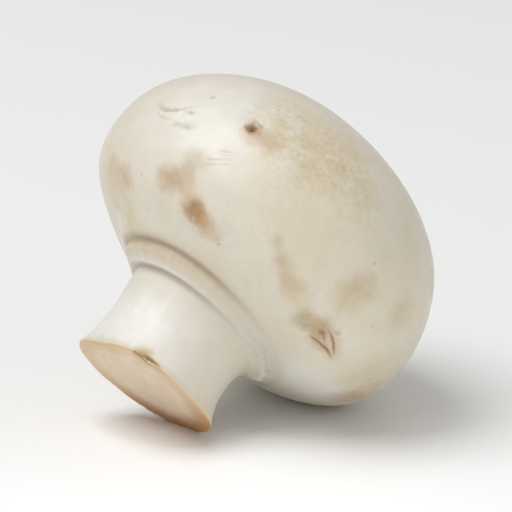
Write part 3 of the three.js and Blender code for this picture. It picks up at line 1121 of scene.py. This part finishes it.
# Painted shade: the stem's shaded side, towards -50 degrees, is mixed towards ivory.
low_side = skin.vectors("DOT_PRODUCT", turned, (*towards_way(SHADED_STEM_SIDE["towards"]), 0), output="Value")
wobble = skin.noise(grown_at, EDGE_WOBBLE["width"], roughness=0.6)
wobbled = skin.maths("MULTIPLY_ADD", wobble, EDGE_WOBBLE["reach"], level)
stem_coats = [
    ("shell", streaks, 0.18),
    ("shell", middle, 0.35),
    # Painted shade under the cap, partly dirt: the stem is greyer near the neck.
    ("shell", above(NECK_HEIGHT, NECK_SHADE_AND_DIRT), 0.65),
    ("ivory", skin.between(low_side, SHADED_STEM_SIDE["start"], SHADED_STEM_SIDE["end"]), 0.50),
    ("straw", above(STEM_END_HEIGHT, NEAR_CUT, wobbled), 0.50),
]
stem_colour = put_spots(skin.layers(PAINTS["silk"], stem_coats), STEM_SPOTS)
in_stem = above(NECK_HEIGHT, STEM_COLOUR_STARTS)
colour = skin.mix(above(MARGIN_HEIGHT, VEIL_STARTS), cap_colour, veil_colour)
colour = skin.mix(in_stem, colour, stem_colour)
print("nodes with veil and stem:", len(skin.nodes))

# %% Painted shade in the furrows, and broken skin
TORN = (0.05, 0.5)
DEEPLY_TORN = (0.45, 1.0)

torn = skin.numbers("broken")
torn_coats = [
    # Painted shade: the furrow paint darkens the furrows and lifted skin, partly a tan tint; the browns are
    # real.
    ("furrow", skin.numbers("furrow"), 0.62),
    ("brown", skin.between(torn, *TORN), 0.60),
    ("dark_brown", skin.between(torn, *DEEPLY_TORN), 0.75),
]
skin.feed(skin.shader, {"Base Color": skin.layers(colour, torn_coats)})
print("nodes with the tears:", len(skin.nodes))

# %% Gloss, silk and the light inside
CAP_ROUGHNESS = (0.36, 0.50)
STEM_ROUGHER = 0.10
SKIN_GLOSS = {"Specular IOR Level": 0.65, "Sheen Weight": 0.12, "Sheen Roughness": 0.45}
SILK = {"width": 0.28, "stretch": (1, 1, 0.5), "depth": 0.05, "strength": 0.55}
STREAK_BUMP = {"depth": 0.03, "strength": 0.4}
LIGHT_INSIDE = {"Subsurface Radius": (1.0, 0.7, 0.45), "Subsurface Scale": 1.2 * MM}
LIGHT_SHARE = {"whole": 0.25, "torn": 0.02}


def let_light_in(recipe, torn):
    """A little light wanders below the surface, red the furthest, but not where it is torn and dry."""
    share = recipe.between(torn, *TORN, LIGHT_SHARE["whole"], LIGHT_SHARE["torn"])
    recipe.feed(recipe.shader, {"Subsurface Weight": share, **LIGHT_INSIDE})


roughness = skin.between(middle, 0.0, 1.0, *CAP_ROUGHNESS)
roughness = skin.maths("ADD", roughness, skin.maths("MULTIPLY", in_stem, STEM_ROUGHER))
silk = skin.noise(skin.vectors("MULTIPLY", grown_at, SILK["stretch"]), SILK["width"], **SILKY)
silk_bump = skin.bump(silk, SILK["depth"], SILK["strength"])
stem_streaks = skin.maths("MULTIPLY", streaks, in_stem)
skin_bump = skin.bump(stem_streaks, STREAK_BUMP["depth"], STREAK_BUMP["strength"], silk_bump)
skin.feed(skin.shader, {"Roughness": roughness, "Normal": skin_bump, **SKIN_GLOSS})
let_light_in(skin, torn)
print("skin nodes:", len(skin.nodes))

# %% [markdown]
# ## The cut flesh
# Cut flesh is pinkish beige, wetter than skin, and browns from the rim inwards, most where the rim
# faces the table. It needs its own material, because the change from skin to flesh is a sharp edge.
# The faces of the cut are picked by where they grew: below the softened rim, and inside it.

# %% Colour of the flesh
CUT_RADIUS = stem_radius(1)
THREADS = {"width": 0.45, "turn": 20, "stretch": (0.15, 1, 1)}
UNEVEN_EDGE = {"width": 1.6, "reach": 1.6}
RIM_STARTS = (6.2, 8.6)
DRY_STARTS = (CUT_RADIUS - 0.75, CUT_RADIUS - 0.1)
BURNT_STARTS = (5.5, 8.6)
LOW_EDGE = (-1.0, 8.0)
BEIGE_THREADS = (0.4, 0.75)
TORN_FLESH = (0.1, 0.8)

flesh = Recipe("cut_flesh")
grown_at = flesh.numbers("grown", "Vector")
blotches = flesh.patches(grown_at, "blotches")
turn = (0, 0, math.radians(THREADS["turn"]))
lengthwise = flesh.add("Mapping", {"Vector": grown_at, "Rotation": turn, "Scale": THREADS["stretch"]})
cut_threads = flesh.noise(lengthwise, THREADS["width"], **SILKY)

from_middle = flesh.vectors("LENGTH", flesh.vectors("MULTIPLY", grown_at, ROUND_ONLY), output="Value")
wander = flesh.noise(grown_at, UNEVEN_EDGE["width"], **ROUGH)
wander = flesh.maths("MULTIPLY_ADD", wander, UNEVEN_EDGE["reach"], -UNEVEN_EDGE["reach"] / 2)
edge = flesh.maths("ADD", from_middle, wander)
low_side = flesh.between(flesh.part_of(grown_at, 0), *LOW_EDGE)
torn = flesh.numbers("broken")
flesh_coats = [
    ("beige_flesh", flesh.between(cut_threads, *BEIGE_THREADS), 0.50),
    ("dry_rim", flesh.between(edge, *RIM_STARTS), 0.55),
    ("dry_rim", flesh.maths("MULTIPLY", flesh.between(edge, *DRY_STARTS), blotches), 0.60),
    ("burnt_rim", flesh.maths("MULTIPLY", low_side, flesh.between(edge, *BURNT_STARTS)), 0.85),
    ("dark_brown", flesh.between(torn, *TORN_FLESH), 0.85),
]
colour = flesh.mix(blotches, PAINTS["pink_flesh"], PAINTS["pale_flesh"])
flesh.feed(flesh.shader, {"Base Color": flesh.layers(colour, flesh_coats)})
print("flesh nodes for colour:", len(flesh.nodes))

# %% Gloss and fibres of the flesh
FLESH_ROUGHNESS = (0.42, 0.62)
ROUGHER_THREADS = (0.3, 0.7)
THREAD_BUMP = {"depth": 0.10, "strength": 0.7}
CRUMB = {"width": 0.25, "depth": 0.05, "strength": 0.5}

roughness = flesh.between(cut_threads, *ROUGHER_THREADS, *FLESH_ROUGHNESS)
thread_bump = flesh.bump(cut_threads, THREAD_BUMP["depth"], THREAD_BUMP["strength"])
crumb = flesh.noise(grown_at, CRUMB["width"], **ROUGH)
flesh_bump = flesh.bump(crumb, CRUMB["depth"], CRUMB["strength"], thread_bump)
flesh.feed(flesh.shader, {"Roughness": roughness, "Normal": flesh_bump})
let_light_in(flesh, torn)
print("flesh nodes:", len(flesh.nodes))

# %% Give each face its material
# Faces that grew at the very end of the stem are cut flesh, with the hollow middle of the cut.
RIM_SHARE = 0.75
HOLLOW_TOP = 1.0

at_the_end = above_end < RIM_BEVEL * RIM_SHARE
in_the_middle = (above_end < HOLLOW_TOP) & (across < CUT_RADIUS / 2)
picked = at_the_end | in_the_middle
body.data.materials.append(skin.material)
body.data.materials.append(flesh.material)
cut_faces = [face for face in body.data.polygons if np.mean([picked[v] for v in face.vertices]) > 0.5]
for face in cut_faces:
    face.material_index = 1
print("faces of cut flesh:", len(cut_faces))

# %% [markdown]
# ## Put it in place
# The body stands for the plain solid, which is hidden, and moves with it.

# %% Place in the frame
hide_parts("mushroom")
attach(body, "root")
